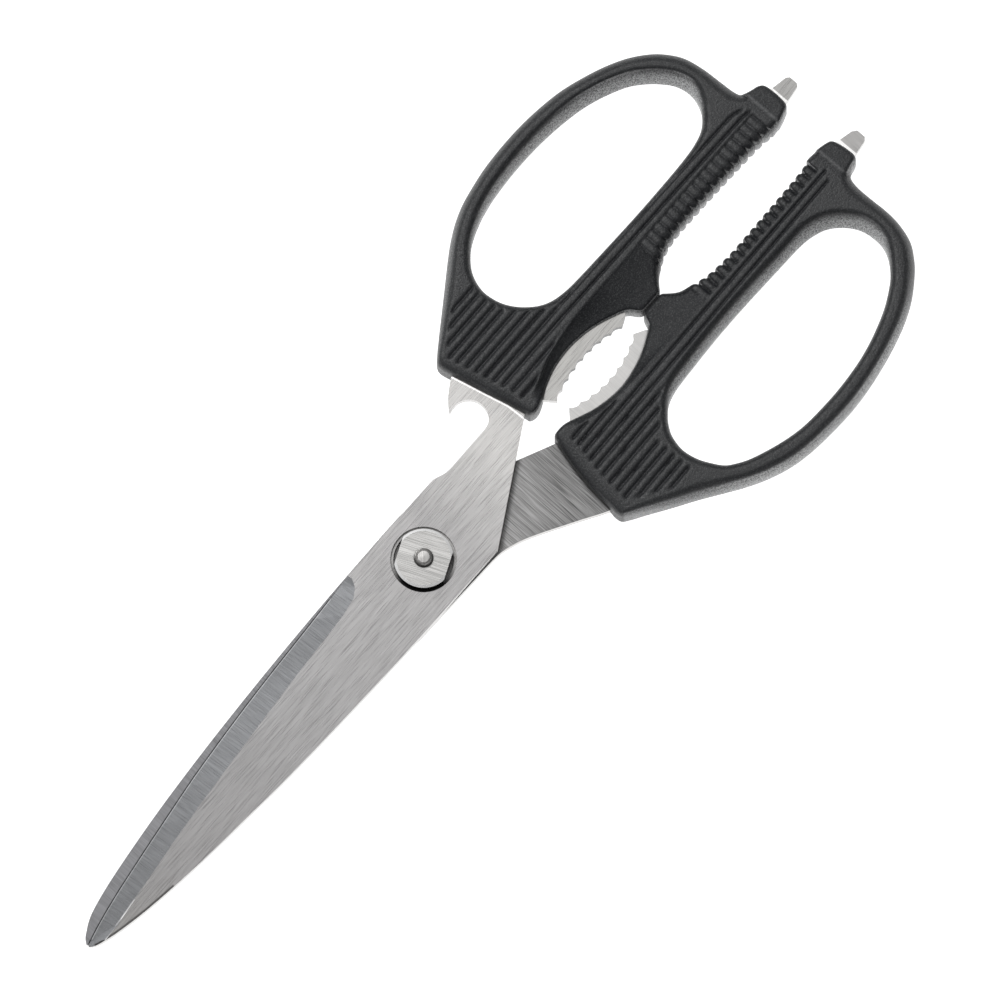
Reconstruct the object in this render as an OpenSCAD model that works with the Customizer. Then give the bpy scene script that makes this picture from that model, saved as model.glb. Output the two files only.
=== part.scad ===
// Take-apart poultry shears: two full-length steel halves, two moulded grips,
// and a keeper pivot. Lying flat, closed. Lengths in millimetres.
// Origin: pivot axis, on the flat back of the back blade.
// +X from the pivot to the grips, +Y to the front half's finger loop, +Z up.
// The front half lies on top of the back half.

/* [Blades] */
// Distance from the pivot to the blade tips
blade_len = 114.4; // [100:0.2:128]
// Thickness of each steel half
blade_t = 2.8; // [2.4:0.1:3.2]
// Running gap between the two halves
blade_gap = 0.05; // [0.03:0.01:0.1]
// Steel left standing at the cutting edge under the bevel
edge_land = 0.3; // [0.2:0.05:0.6]
// Depth of the small scallops in the jaws
tooth_depth = 0.55; // [0.3:0.05:0.8]
// Number of scallops in each jaw
tooth_n = 8; // [6:1:10]

/* [Pivot] */
// Radius of the keeper disc
keeper_r = 6.65; // [6.4:0.05:6.9]
// Width across the keeper's two flats
keeper_af = 11.6; // [11:0.1:12]
// Thickness of the keeper disc
keeper_t = 2.8; // [2:0.1:3.4]
// Opening angle at which the halves lift apart
apart_deg = 100; // [85:1:105]
// Direction of the keeper's long axis
keeper_deg = 23; // [15:1:30]
// Radius of the round recess under the keeper
recess_r = 7.4; // [7.2:0.1:8]
// Depth of that recess
recess_d = 0.85; // [0.6:0.05:1.1]
// Radial running clearance of the journal in its slot
run_c = 0.05; // [0.02:0.01:0.1]
// Diameter of the rivet's shank
rivet_d = 4; // [3.4:0.1:4.4]

/* [Grips] */
// Thickness of the moulded grips
grip_t = 11.4; // [10.4:0.2:12.4]
// Radius of the edge rounding, as a share of the full amount
round_k = 1; // [0.6:0.05:1.1]
// Spacing of the panel ribs
rib_pitch = 2.2; // [2:0.05:2.4]
// Depth of the grooves between ribs
rib_depth = 0.5; // [0.3:0.05:0.7]
// Spacing of the serrations along the arm
serr_pitch = 2.256; // [2.1:0.05:2.4]
// Depth of the serrations
serr_depth = 0.6; // [0.3:0.05:0.8]
// Diameter of the anchor holes in each tang
anchor_d = 4.5; // [3:0.5:5]

/* [Hidden] */

z_mid = blade_t;                 // top of the back half's steel, mid-height of the grips
z_front = blade_t + blade_gap;   // underside of the front half's steel
z_outer = z_front + blade_t;     // outer face of the front half's steel
z_recess = z_outer - recess_d;   // floor of the recess
z_keeper = z_recess + 0.05;      // underside of the keeper
z_button = z_keeper + keeper_t;  // top of the keeper, where the rivet's button starts

fit = 0.02;                      // play between fixed pivot parts
slot_r = keeper_r + 0.1;         // slot ends in the front half
shank_r = 4.5;                   // double-D foot of the journal, held in the back half
shank_af = 7.6;
head_r = 5;                      // rivet head, sunk in the back half
head_t = 1.15;
head_pocket = 1.2;
rivet_af = rivet_d*.82;          // width across the rivet's flats
land_half_deg = 9;               // half the angle each journal land takes up

// ---------- curve helpers ----------
// Catmull-Rom point between b and c
function spline_point(a, b, c, d, t) =
    0.5*(2*b + (c - a)*t + (2*a - 5*b + 4*c - d)*t*t + (3*b - a - 3*c + d)*t*t*t);
function open_curve(points, steps) = let(last = len(points) - 1) concat(
    [for (i = [0:last-1]) for (k = [0:steps-1]) spline_point(
        points[max(i-1, 0)], points[i], points[i+1], points[min(i+2, last)], k/steps)],
    [points[last]]);
function closed_curve(points, steps) = let(count = len(points))
    [for (i = [0:count-1]) for (k = [0:steps-1]) spline_point(
        points[(i+count-1)%count], points[i], points[(i+1)%count], points[(i+2)%count],
        k/steps)];
function reversed(points) = [for (i = [len(points)-1:-1:0]) points[i]];
// drops points that fall on their neighbour
function distinct(points) = let(count = len(points))
    [for (i = [0:count-1]) if (norm(points[i] - points[(i+1)%count]) > .02) points[i]];

// Blade points are listed for a 114.4 blade. Beyond x = -14 they keep their y
// and stretch in x with blade_len.
fixed_len = 14;
listed_len = 114.4;
function stretched(points) = let(ratio = (blade_len - fixed_len)/(listed_len - fixed_len))
    [for (p = points)
        [p.x < -fixed_len ? -fixed_len + (p.x + fixed_len)*ratio : p.x, p.y]];

// inward normal of a counter-clockwise loop
function inward(points, i) = let(
    count = len(points),
    before = points[(i+count-1)%count],
    after = points[(i+1)%count],
    along = [after.x - before.x, after.y - before.y]) [-along.y, along.x]/norm(along);
// moves [x, y, share] points inward by dist*share and sets them at height z
function inset_ring(points, dist, z) = [for (i = [0:len(points)-1])
    let(p = points[i], shift = inward(points, i)*dist*p[2]) [p.x + shift.x, p.y + shift.y, z]];

// scalloped jaw edge: a parabola through end_y at both ends and mid_y between them
function scallops(start_x, end_x, end_y, mid_y, side) = let(steps = 5)
    [for (i = [0:tooth_n*steps]) let(part = i/(tooth_n*steps), offset = 2*part - 1)
        [start_x + (end_x - start_x)*part,
         end_y + (mid_y - end_y)*(1 - offset*offset)
             + side*tooth_depth*sin(180*(i%steps)/steps)]];

// ---------- steel outlines: x, y ----------
// front half, counter-clockwise from the blade tip
front_spine = stretched([[-114.4,-.1],[-113.3,-1.2],[-111,-2.2],[-107,-3.3],[-100,-4.7],
    [-90,-6.1],[-80,-7.2],[-70,-8],[-60,-8.85],[-50,-9.45],[-40,-9.9],[-30,-10.3],
    [-20,-10.65],[-8,-10.9],[4,-11],[12.4,-11.1]]);
front_step = [[39.6,4.35],[42,4.4],[43.8,4.1],[45,2.6]];
front_inner = [[70.8,1.7],[72.6,3.2],[75,5],[79,6.4],[86,6.8],[100,6.8],[118,6.6],[128,6.2]];
front_end = [[130.3,5.75],[134.9,6.25],[135.4,6.9],[135.4,8.9],[134.7,9.55],[130.5,10.35]];
front_outer = [[128,10.7],[118,11.2],[100,11.4],[80,11.6],[66,12],[58,13.6],[52.6,17],[48,20],
    [42,21.8],[37,22.2],[35.25,22.1]];
front_hook = [[35.25,22.1],[33.5,21.1],[31.5,19.8],[30,18.5],[28.6,16.95]];
front_notch = [[28.6,16.95],[29.8,17.2],[31.2,17.25],[32.5,16.9],[33.6,16.1],[34.4,15.1],
    [34.85,13.8],[34.9,12.4],[34.5,11],[33.7,9.8],[32.6,9.05],[31.2,8.8]];
front_neck = [[20,8.8],[18.2,8.95],[16.6,9.5],[15.2,10],[13.6,10.15],[0,10.35]];
front_edge = stretched([[-13,10.4],[-20,10.15],[-30,9.7],[-40,9.25],[-50,8.7],[-60,7.95],
    [-70,7.05],[-80,5.8],[-90,4.5],[-100,3.1],[-105,2.25],[-110,1.25],[-113.6,.35],
    [-114.4,-.1]]);
front_outline = distinct(concat(
    open_curve(front_spine, 3), front_step, scallops(46.4, 68.5, .65, 2.6, 1),
    open_curve(front_inner, 2), front_end, open_curve(front_outer, 2),
    open_curve(front_hook, 3), open_curve(front_notch, 3), open_curve(front_neck, 2),
    open_curve(front_edge, 3)));

// back half, clockwise from the step before the jaw
back_step = [[39.2,-4.9],[42,-5.4],[44,-5.2],[45.9,-3.4]];
back_inner = [[71.6,-3.4],[73.2,-4.8],[76,-6.6],[82,-8.4],[100,-9.2],[118,-9.3],[128,-8.9]];
back_end = [[131.4,-8.1],[135.4,-9.1],[136.4,-9.9],[136.4,-12.1],[135.7,-12.7],[131.6,-13.2]];
back_outer = [[128,-13.5],[118,-13.9],[100,-13.9],[80,-13.8],[66,-14.2],[59,-15.8],[54,-19],
    [49,-22.4],[43,-23.8],[38,-24.1],[35.7,-23.95]];
back_neck = [[35.7,-23.95],[33.4,-22.6],[30.4,-20.7],[26.4,-18.3],[22.4,-15.9],[18.4,-13.7],
    [15.4,-12.5],[12.9,-11.75],[10,-11.45],[5,-11.3]];
back_edge = stretched([[-13,-10.7],[-20,-10.4],[-30,-9.9],[-40,-9.4],[-50,-8.8],[-60,-8],
    [-70,-7.1],[-80,-5.9],[-90,-4.6],[-100,-3.2],[-105,-2.3],[-110,-1.3],[-113.5,-.3],
    [-114.2,.7]]);
back_spine = stretched([[-114.2,.7],[-113.2,1.9],[-111.5,2.9],[-110,3.7],[-107,4.7],[-100,6],
    [-90,7.25],[-80,8.25],[-70,9],[-60,9.6],[-50,10.05],[-40,10.4],[-30,10.65],[-20,10.8],
    [-8,10.85],[4,10.75],[7.4,10.2]]);
back_outline = distinct(reversed(concat(
    back_step, scallops(47.3, 69.2, -2, -4.4, -1), open_curve(back_inner, 2), back_end,
    open_curve(back_outer, 2), open_curve(back_neck, 2), open_curve(back_edge, 3),
    open_curve(back_spine, 3))));

// ---------- grip outlines: x, y, share of the edge rounding ----------
front_grip = [
    [39.6,4,.2],[39.7,3.2,.2],[40.6,2.6,.2],[42.2,2.5,.2],[43.8,3,.2],
    [46,4,.15],[48,4.75,.15],[52,5.85,.15],[57,6.25,.15],[62,5.7,.15],[66,4.6,.15],[69,3.4,.15],
    [70.6,2.7,.15],[72,1.6,.2],[73,.1,.2],[73.8,-.7,.2],[75,-.92,.2],[78.6,-.92,.2],[79.9,-.6,.2],
    [81,.5,.3],[82.6,1.9,.4],[84.4,2.9,.5],[86.6,3.9,.5],[89.2,4.6,.5],[93,4.95,.5],[100,4.9,.5],
    [110,4.6,.5],[118,4.25,.5],[121,4,.5],[123.5,3.6,.5],[126,3.8,.5],[128.6,4.5,.5],[130,5.4,.4],
    [130.35,8.4,.3],[130.2,11.4,.4],[129.2,12.7,.5],[127,13.5,.6],[125.6,14.4,.8],[125,16.5,1],
    [124.8,20,1],[124.5,25,1],[123.6,29.6,1],[121.7,33.2,1],[119.2,36.2,1],[115.2,39.4,1],
    [110.2,42.1,1],[105.2,44.1,1],[100.2,45.7,1],[95,46.7,1],[90,47.3,1],[85,47.55,1],[80,47.5,1],
    [75,47.15,1],[70.2,46.4,1],[66.2,45.55,1],[62.2,44.1,1],[58.3,42.1,1],[54.5,39.7,1],
    [50.4,36.9,.9],[45.4,33.5,.7],[40.4,30.1,.5],[37,27.7,.3],[35.3,26.2,.2],[35,24.5,.15],
    [36,20,.15],[37.4,13.8,.15],[38.7,8.3,.15]];
front_hole = [
    [54.7,29.2,1],[55.1,25.6,1],[56.2,22.8,1],[58,20.2,1],[60.4,17.9,1],[63,16.5,1],[66,15.75,1],
    [70,15.35,1],[80,15,1],[90,14.75,1],[100,14.75,1],[106,14.9,1],[110.2,15.3,1],[113.7,16.3,1],
    [116.4,18.4,1],[117.9,21.3,1],[118.25,24.2,1],[117.5,27.2,1],[115.7,30.1,1],[113.5,32.6,1],
    [110.5,35.1,1],[105.6,37.6,1],[100.6,39.4,1],[95.6,40.5,1],[90.6,41.2,1],[85.6,41.6,1],
    [80.6,41.7,1],[75.6,41.5,1],[70.6,41,1],[65.6,39.9,1],[60.8,38,1],[57.5,35.4,1],[55.6,32.6,1]];
back_grip = reversed([
    [39.3,-5.2,.15],[39.9,-4.1,.15],[41,-3.85,.2],[42.5,-3.9,.2],[44,-4.2,.2],[46.6,-5.2,.15],
    [49.8,-6.5,.15],[52.8,-7.3,.15],[55.8,-7.8,.15],[58.8,-7.95,.15],[61.8,-7.6,.15],[64.8,-7,.15],
    [67.8,-6,.15],[70.2,-4.9,.15],[72.2,-3.8,.2],[72.9,-2.3,.2],[73.7,-1.25,.2],[75,-.98,.2],
    [78.4,-.98,.2],[79.8,-1.3,.2],[80.8,-2.2,.3],[82.4,-3.6,.4],[84.4,-4.6,.5],[86.6,-5.5,.5],
    [89.6,-6.3,.5],[93,-6.75,.5],[98,-7,.5],[106,-6.95,.5],[114,-6.9,.5],[121,-6.75,.5],
    [123.3,-6.25,.5],[124.6,-6.15,.5],[126.5,-6.4,.5],[129,-7,.5],[130.3,-7.7,.4],[130.9,-9.5,.3],
    [131.2,-12.5,.3],[131,-14,.4],[130,-14.8,.5],[128,-15.3,.6],[126.9,-16.4,.8],[126.5,-19,1],
    [126.5,-23,1],[126.6,-27,1],[126.2,-31,1],[124.9,-35.2,1],[122.8,-38.1,1],[120.2,-40.6,1],
    [115.2,-44,1],[110.3,-46.2,1],[105.3,-47.7,1],[100.3,-48.8,1],[95.3,-49.6,1],[90.3,-50.1,1],
    [86,-50.2,1],[80.3,-49.9,1],[75.3,-49.4,1],[70.3,-48.4,1],[65.3,-46.6,1],[60.3,-44,1],
    [55.3,-40.7,1],[50.3,-37.2,.9],[45.3,-33.9,.7],[40.4,-30.5,.5],[37,-28.2,.3],[35.8,-27.1,.2],
    [35.55,-25.5,.15],[35.8,-23.9,.15],[36.2,-19.2,.15],[36.9,-14.7,.15],[38,-9.7,.15]]);
back_hole = reversed([
    [56.4,-27.5,1],[57.1,-24,1],[58.4,-21.7,1],[60.1,-19.9,1],[62.1,-18.5,1],[65.2,-17.6,1],
    [70.2,-17.2,1],[80.2,-16.8,1],[90.2,-16.8,1],[100.2,-17.1,1],[108.2,-17.4,1],[112.2,-18.2,1],
    [115.2,-19.6,1],[117.7,-22,1],[119.4,-24.8,1],[120.1,-27.8,1],[120,-31,1],[119,-33.6,1],
    [117.3,-35.8,1],[114.8,-37.9,1],[110,-40.5,1],[105,-42.3,1],[100,-43.6,1],[94.8,-44.4,1],
    [87.8,-44.8,1],[79.8,-44.5,1],[74.8,-43.7,1],[69.8,-42.2,1],[64.8,-40.2,1],[61.8,-38.4,1],
    [59.8,-36.7,1],[58.3,-34.2,1],[57,-31.2,1]]);

// ---------- shared solids ----------
// closed skin over a row of rings with equal point counts
module skin(rings) {
    count = len(rings[0]);
    last = len(rings) - 1;
    polyhedron(
        points = [for (ring = rings) for (p = ring) p],
        faces = concat(
            [[for (i = [0:count-1]) i]],
            [for (j = [0:last-1]) for (i = [0:count-1])
                let(a = j*count + i, b = j*count + (i+1)%count)
                for (face = [[a, a+count, b], [b, a+count, b+count]]) face],
            [[for (i = [count-1:-1:0]) last*count + i]]));
}
module double_d(r, af, h) {
    intersection() {
        cylinder(r = r, h = h, $fn = 96);
        translate([-r-1, -af/2, -1]) cube([2*r+2, af, h+2]);
    }
}

// ---------- steel halves ----------
// bevel of the front half, x, y: full thickness at the ridge, ground down at the brink
bevel_ridge = stretched([[-116,-1.6],[-111,-2],[-105,-1.6],[-95,-.5],[-85,.7],[-75,1.7],
    [-65,2.5],[-55,3.25],[-45,3.95],[-35,4.6],[-27,5],[-20,5.55],[-16.5,6.3],[-14.6,7.6],
    [-13.6,9.2]]);
bevel_brink = stretched([[-117,.2],[-114,.4],[-106,2.1],[-96,3.7],[-86,5.1],[-76,6.4],
    [-66,7.45],[-56,8.3],[-46,9],[-36,9.5],[-28,9.85],[-20.5,10.15],[-17,10.3],[-15,10.45],
    [-13.8,10.5]]);
// drop at each brink point, fading out towards the pivot
bevel_drop = [for (i = [0:14]) (blade_t - edge_land)*(i < 11 ? 1 : (15-i)/4.6)];
// anchor hole centres
front_anchors = [[46.5,14.5],[92,9.1],[114,8.9]];
back_anchors = [[47,-16.5],[94,-11.5],[115,-11.6]];

// wedge that grinds the bevel, carried past the ridge and the brink
module bevel_cut(past_ridge = .3, past_brink = 1.6, top = 4)
    skin([for (i = [0:len(bevel_ridge)-1]) let(
        run = bevel_brink[i] - bevel_ridge[i],
        near = bevel_ridge[i] - run*past_ridge,
        far = bevel_ridge[i] + run*past_brink)
        [[near.x, near.y, bevel_drop[i]*past_ridge], [far.x, far.y, -bevel_drop[i]*past_brink],
         [far.x, far.y, top], [near.x, near.y, top]]]);
module anchors(centres) for (c = centres)
    translate([c.x, c.y, -1]) cylinder(d = anchor_d, h = 12, $fn = 48);
module front_steel() translate([0, 0, z_front]) linear_extrude(blade_t) polygon(front_outline);
module back_steel() linear_extrude(blade_t) polygon(back_outline);

module front_blade() color([.72,.71,.69]) difference() {
    front_steel();
    translate([0, 0, z_outer]) bevel_cut();
    rotate(keeper_deg - apart_deg) translate([0, 0, z_front-1])
        double_d(slot_r, keeper_af + 2*run_c, 6);
    translate([0, 0, z_recess]) cylinder(r = recess_r, h = 4, $fn = 128);
    anchors(front_anchors);
}
module back_blade() color([.62,.61,.6]) difference() {
    back_steel();
    mirror([0,0,1]) mirror([0,1,0]) bevel_cut();
    rotate(keeper_deg) translate([0, 0, -1]) double_d(shank_r + fit, shank_af + 2*fit, 6);
    translate([0, 0, -1]) cylinder(r = head_r + fit, h = head_pocket + 1, $fn = 96);
    anchors(back_anchors);
}

// ---------- grips ----------
// edge rounding: height as a share of half the thickness, inset of the outline
round_levels = [[-1,1.9],[-.93,1.05],[-.72,.4],[-.4,.06],[.4,.06],[.72,.4],[.93,1.05],[1,1.9]];
hole_levels = concat([[-1.2,1.9]], round_levels, [[1.2,1.9]]);

// side is 1 to step the outline inward, -1 outward
module rounded(outline, levels, side) skin([for (level = levels)
    inset_ring(outline, side*level[1]*round_k, z_mid + level[0]*grip_t/2)]);
module grip_body(outline, hole) {
    difference() {
        rounded(closed_curve(outline, 2), round_levels, 1);
        rounded(closed_curve(hole, 2), hole_levels, -1);
    }
}

// grooves between the ribs: y, start x, end x; the longest run on along the arm
front_rows = [for (i = [0:10]) let(y = 7.2 + rib_pitch*i)
    [y, i > 9 ? 45 : 42.2 - y*.17,
     i == 0 ? 48 : i == 2 ? 123.4 : i == 3 ? 122
         : y > 21 ? 53 : y > 15 ? 56 - (y-16)*.7 : 60]];
back_rows = [for (i = [0:9]) let(y = -9.4 - rib_pitch*i)
    [y, i > 8 ? 45 : 41.2 + y*.12,
     i == 0 ? 84.6 : i == 1 ? 124.2 : i == 2 ? 123 : y < -19 ? 54.4 : 57 + (y+16)*.6]];
module grooves(rows) for (row = rows) translate([row[1], row[0], z_mid + grip_t/2])
    rotate([0, 90, 0]) cylinder(r = rib_depth, h = row[2] - row[1], $fn = 16);

// serrations on the arm's inner edge: curved before crest_x, sloping straight after it
module serrations(crest_y, side, slope, crest_x = 93) for (i = [0:15])
    let(x = 86.9 + serr_pitch*i, bend = max(0, (crest_x - x)/7))
    translate([x, crest_y - side*(1.2*bend*bend + slope*max(0, x - crest_x)), z_mid - 4])
        cylinder(r = serr_depth*1.3, h = 8, $fn = 20);

module front_handle() color([.2,.2,.21]) difference() {
    grip_body(front_grip, front_hole);
    difference() {
        front_steel();
        anchors(front_anchors);
    }
    grooves(front_rows);
    serrations(4.4, 1, .022);
}
module back_handle() color([.19,.19,.2]) difference() {
    grip_body(back_grip, back_hole);
    difference() {
        back_steel();
        anchors(back_anchors);
    }
    grooves(back_rows);
    serrations(-6.5, -1, .0066);
}

// ---------- pivot ----------
module rivet_hole(z) rotate(keeper_deg) translate([0, 0, z])
    double_d(rivet_d/2 + fit, rivet_af + 2*fit, 12);

// journal that the front half turns on, with two lands that stop it at each end of its travel
module journal_bush() color([.5,.5,.5]) difference() {
    z_foot = z_mid + fit;
    journal_h = z_keeper - z_foot;
    reach = 9;
    half_width = reach*tan(land_half_deg);
    union() {
        rotate(keeper_deg) translate([0, 0, head_pocket])
            double_d(shank_r, shank_af, blade_t - head_pocket + .1);
        translate([0, 0, z_foot]) cylinder(r = keeper_af/2, h = journal_h, $fn = 96);
        translate([0, 0, z_foot]) intersection() {
            cylinder(r = keeper_r + .05, h = journal_h, $fn = 96);
            rotate(keeper_deg - apart_deg/2) for (turn = [0,180]) rotate(turn)
                linear_extrude(6) polygon([[0,0],[reach,-half_width],[reach,half_width]]);
        }
    }
    rivet_hole(-1);
}
// double-D disc with a chamfered top rim
module keeper_disc() color([.8,.8,.79]) difference() {
    rotate(keeper_deg) translate([0, 0, z_keeper]) intersection() {
        double_d(keeper_r, keeper_af, keeper_t);
        rotate_extrude($fn = 96) polygon([[0,-1],[9,-1],[9,keeper_t-2.9],
            [keeper_r,keeper_t-.5],[keeper_r-.55,keeper_t],[0,keeper_t]]);
    }
    rivet_hole(z_keeper - 1);
}
// sunk head, double-D shank and domed button
module pivot_rivet() color([.66,.66,.65]) union() {
    cylinder(r = head_r, h = head_t, $fn = 96);
    rotate(keeper_deg) double_d(rivet_d/2, rivet_af, z_button + .1);
    translate([0, 0, z_button + .01]) rotate_extrude($fn = 64)
        polygon([[0,0],[2.2,0],[2.02,.5],[1.86,1.1],[1.62,1.5],[1.3,1.68],[0,1.72]]);
}

front_blade();
back_blade();
front_handle();
back_handle();
journal_bush();
keeper_disc();
pivot_rivet();
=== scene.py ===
"""Looks of the take-apart poultry shears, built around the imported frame. Metres; lists below are millimetres."""
import math

import bpy
import numpy as np
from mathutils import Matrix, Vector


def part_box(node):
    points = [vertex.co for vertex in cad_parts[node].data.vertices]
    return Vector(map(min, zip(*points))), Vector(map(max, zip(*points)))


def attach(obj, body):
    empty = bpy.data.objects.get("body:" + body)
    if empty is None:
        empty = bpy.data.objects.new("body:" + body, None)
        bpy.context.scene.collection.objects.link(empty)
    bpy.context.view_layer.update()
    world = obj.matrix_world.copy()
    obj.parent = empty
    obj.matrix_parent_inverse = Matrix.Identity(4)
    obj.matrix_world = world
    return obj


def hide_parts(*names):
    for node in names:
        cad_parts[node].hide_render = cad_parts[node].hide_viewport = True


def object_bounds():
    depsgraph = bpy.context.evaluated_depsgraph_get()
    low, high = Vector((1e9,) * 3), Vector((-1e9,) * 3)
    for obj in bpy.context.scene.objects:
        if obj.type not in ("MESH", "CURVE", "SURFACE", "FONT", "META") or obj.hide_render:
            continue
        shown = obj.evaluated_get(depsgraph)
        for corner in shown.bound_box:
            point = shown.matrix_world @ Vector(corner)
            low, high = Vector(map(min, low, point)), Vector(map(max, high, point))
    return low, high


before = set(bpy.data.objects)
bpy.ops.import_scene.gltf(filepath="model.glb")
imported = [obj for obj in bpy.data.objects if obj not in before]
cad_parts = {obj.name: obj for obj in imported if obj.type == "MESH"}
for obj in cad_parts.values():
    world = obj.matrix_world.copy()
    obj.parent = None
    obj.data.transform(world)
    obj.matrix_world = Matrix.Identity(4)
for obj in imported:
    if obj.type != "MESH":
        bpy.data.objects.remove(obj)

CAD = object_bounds()
MM = 0.001

# ------------------------------------------------------------------ outlines (x, y, share of edge rounding)
FRONT_GRIP = [
    [39.6,4,0.2], [39.7,3.2,0.2], [40.6,2.6,0.2], [42.2,2.5,0.2], [43.8,3,0.2], [46,4,0.15],
    [48,4.75,0.15], [52,5.85,0.15], [57,6.25,0.15], [62,5.7,0.15], [66,4.6,0.15], [69,3.4,0.15],
    [70.6,2.7,0.15], [72,1.6,0.2], [73,0.1,0.2], [73.8,-0.7,0.2], [75,-0.92,0.2],
    [78.6,-0.92,0.2], [79.9,-0.6,0.2], [81,0.5,0.3], [82.6,1.9,0.4], [84.4,2.9,0.5],
    [86.6,3.9,0.5], [89.2,4.6,0.5], [93,4.95,0.5], [100,4.9,0.5], [110,4.6,0.5], [118,4.25,0.5],
    [121,4,0.5], [123.5,3.6,0.5], [126,3.8,0.5], [128.6,4.5,0.5], [130,5.4,0.4],
    [130.35,8.4,0.3], [130.2,11.4,0.4], [129.2,12.7,0.5], [127,13.5,0.6], [125.6,14.4,0.8],
    [125,16.5,1], [124.8,20,1], [124.5,25,1], [123.6,29.6,1], [121.7,33.2,1], [119.2,36.2,1],
    [115.2,39.4,1], [110.2,42.1,1], [105.2,44.1,1], [100.2,45.7,1], [95,46.7,1], [90,47.3,1],
    [85,47.55,1], [80,47.5,1], [75,47.15,1], [70.2,46.4,1], [66.2,45.55,1], [62.2,44.1,1],
    [58.3,42.1,1], [54.5,39.7,1], [50.4,36.9,0.9], [45.4,33.5,0.7], [40.4,30.1,0.5],
    [37,27.7,0.3], [35.3,26.2,0.2], [35,24.5,0.15], [36,20,0.15], [37.4,13.8,0.15],
    [38.7,8.3,0.15],]
FRONT_HOLE = [
    [54.7,29.2,1], [55.1,25.6,1], [56.2,22.8,1], [58,20.2,1], [60.4,17.9,1], [63,16.5,1],
    [66,15.75,1], [70,15.35,1], [80,15,1], [90,14.75,1], [100,14.75,1], [106,14.9,1],
    [110.2,15.3,1], [113.7,16.3,1], [116.4,18.4,1], [117.9,21.3,1], [118.25,24.2,1],
    [117.5,27.2,1], [115.7,30.1,1], [113.5,32.6,1], [110.5,35.1,1], [105.6,37.6,1],
    [100.6,39.4,1], [95.6,40.5,1], [90.6,41.2,1], [85.6,41.6,1], [80.6,41.7,1], [75.6,41.5,1],
    [70.6,41,1], [65.6,39.9,1], [60.8,38,1], [57.5,35.4,1], [55.6,32.6,1],]
BACK_GRIP = [
    [39.3,-5.2,0.15], [39.9,-4.1,0.15], [41,-3.85,0.2], [42.5,-3.9,0.2], [44,-4.2,0.2],
    [46.6,-5.2,0.15], [49.8,-6.5,0.15], [52.8,-7.3,0.15], [55.8,-7.8,0.15], [58.8,-7.95,0.15],
    [61.8,-7.6,0.15], [64.8,-7,0.15], [67.8,-6,0.15], [70.2,-4.9,0.15], [72.2,-3.8,0.2],
    [72.9,-2.3,0.2], [73.7,-1.25,0.2], [75,-0.98,0.2], [78.4,-0.98,0.2], [79.8,-1.3,0.2],
    [80.8,-2.2,0.3], [82.4,-3.6,0.4], [84.4,-4.6,0.5], [86.6,-5.5,0.5], [89.6,-6.3,0.5],
    [93,-6.75,0.5], [98,-7,0.5], [106,-6.95,0.5], [114,-6.9,0.5], [121,-6.75,0.5],
    [123.3,-6.25,0.5], [124.6,-6.15,0.5], [126.5,-6.4,0.5], [129,-7,0.5], [130.3,-7.7,0.4],
    [130.9,-9.5,0.3], [131.2,-12.5,0.3], [131,-14,0.4], [130,-14.8,0.5], [128,-15.3,0.6],
    [126.9,-16.4,0.8], [126.5,-19,1], [126.5,-23,1], [126.6,-27,1], [126.2,-31,1],
    [124.9,-35.2,1], [122.8,-38.1,1], [120.2,-40.6,1], [115.2,-44,1], [110.3,-46.2,1],
    [105.3,-47.7,1], [100.3,-48.8,1], [95.3,-49.6,1], [90.3,-50.1,1], [86,-50.2,1],
    [80.3,-49.9,1], [75.3,-49.4,1], [70.3,-48.4,1], [65.3,-46.6,1], [60.3,-44,1], [55.3,-40.7,1],
    [50.3,-37.2,0.9], [45.3,-33.9,0.7], [40.4,-30.5,0.5], [37,-28.2,0.3], [35.8,-27.1,0.2],
    [35.55,-25.5,0.15], [35.8,-23.9,0.15], [36.2,-19.2,0.15], [36.9,-14.7,0.15], [38,-9.7,0.15],]
BACK_HOLE = [
    [56.4,-27.5,1], [57.1,-24,1], [58.4,-21.7,1], [60.1,-19.9,1], [62.1,-18.5,1], [65.2,-17.6,1],
    [70.2,-17.2,1], [80.2,-16.8,1], [90.2,-16.8,1], [100.2,-17.1,1], [108.2,-17.4,1],
    [112.2,-18.2,1], [115.2,-19.6,1], [117.7,-22,1], [119.4,-24.8,1], [120.1,-27.8,1],
    [120,-31,1], [119,-33.6,1], [117.3,-35.8,1], [114.8,-37.9,1], [110,-40.5,1], [105,-42.3,1],
    [100,-43.6,1], [94.8,-44.4,1], [87.8,-44.8,1], [79.8,-44.5,1], [74.8,-43.7,1],
    [69.8,-42.2,1], [64.8,-40.2,1], [61.8,-38.4,1], [59.8,-36.7,1], [58.3,-34.2,1], [57,-31.2,1],]


# ------------------------------------------------------------------ small maths
def sst(a, b, x):
    t = np.clip((x - a) / (b - a), 0.0, 1.0)
    return t * t * (3 - 2 * t)


def cr_loop(P, n):
    """Closed Catmull-Rom curve through the rows of P."""
    P = np.asarray(P, float)
    a, b, c, d = np.roll(P, 1, 0), P, np.roll(P, -1, 0), np.roll(P, -2, 0)
    out = []
    for k in range(n):
        t = k / n
        out.append(0.5 * (2 * b + (c - a) * t + (2 * a - 5 * b + 4 * c - d) * t * t + (3 * b - a - 3 * c + d) * t ** 3))
    return np.stack(out, 1).reshape(-1, P.shape[1])


def cr_open(P, n):
    """Open Catmull-Rom curve through the rows of P."""
    P = np.asarray(P, float)
    m = len(P)
    out = []
    for i in range(m - 1):
        a, b, c, d = P[max(i - 1, 0)], P[i], P[i + 1], P[min(i + 2, m - 1)]
        for k in range(n):
            t = k / n
            out.append(0.5 * (2 * b + (c - a) * t + (2 * a - 5 * b + 4 * c - d) * t * t + (3 * b - a - 3 * c + d) * t ** 3))
    out.append(P[-1])
    return np.array(out)


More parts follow.
